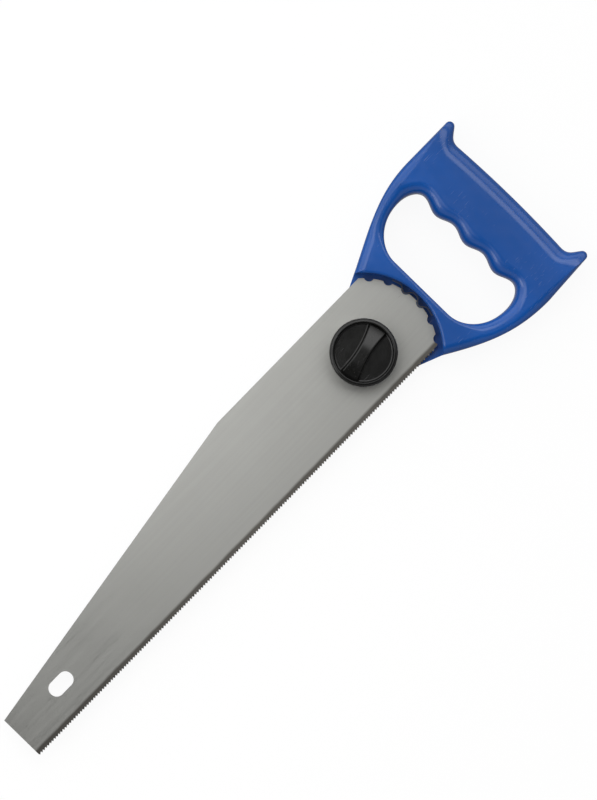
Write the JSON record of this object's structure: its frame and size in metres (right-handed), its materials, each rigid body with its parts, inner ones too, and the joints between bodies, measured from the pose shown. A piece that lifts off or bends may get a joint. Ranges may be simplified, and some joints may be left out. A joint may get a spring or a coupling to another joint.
{
  "type": "pipe saw",
  "caption": "Hand saw for plastic pipe: long tapering toothed blade with a hanging slot and a notched round heel, clamped by a round knob to a hollow D-handle with a finger-grooved grip.",
  "frame": {"origin": "on the blade's pivot axis, at the flat back of the handle, which is also the flush head of the clamp bolt", "axes": "+X along the tooth line from the toe towards the handle, +Y from the teeth towards the spine, +Z out of the knob side; the saw lies on its back"},
  "size_m": [0.3999, 0.1065, 0.0308],
  "materials": {
    "handle_plastic": "glossy moulded blue plastic",
    "blade_steel": "satin rolled steel, dark along the hardened teeth",
    "zinc_steel": "bright zinc plate",
    "spring_steel": "dark oiled spring steel",
    "insert_brass": "turned brass",
    "knob_plastic": "black moulded plastic"
  },
  "bodies": {
    "handle": {"handle_rear_shell": "handle_plastic", "handle_front_shell": "handle_plastic", "shell_screws": "zinc_steel", "index_spring": "spring_steel", "clamp_bolt": "zinc_steel"},
    "blade": {"blade": "blade_steel", "flat_washer": "zinc_steel"},
    "clamp_carriage": {"spring_washer": "spring_steel"},
    "knob": {"knob": "knob_plastic", "knob_insert": "insert_brass"}
  },
  "joints": [
    {"name": "blade_angle", "type": "hinge", "parent": "handle", "child": "blade", "pos_m": [0, 0, 0.0125], "axis": [0, 0, 1], "range_deg": [-30, 30], "deforming": ["index_spring"]},
    {"name": "knob_travel", "type": "slide", "parent": "handle", "child": "clamp_carriage", "axis": [0, 0, 1], "range_m": [0, 0.0038]},
    {"name": "knob_turn", "type": "hinge", "parent": "clamp_carriage", "child": "knob", "pos_m": [0, 0, 0.0166], "axis": [0, 0, 1], "range_deg": [0, 1080]}
  ],
  "couplings": [
    {"joint": "knob_travel", "follows": "knob_turn", "m_per_rad": 0.00019894}
  ]
}
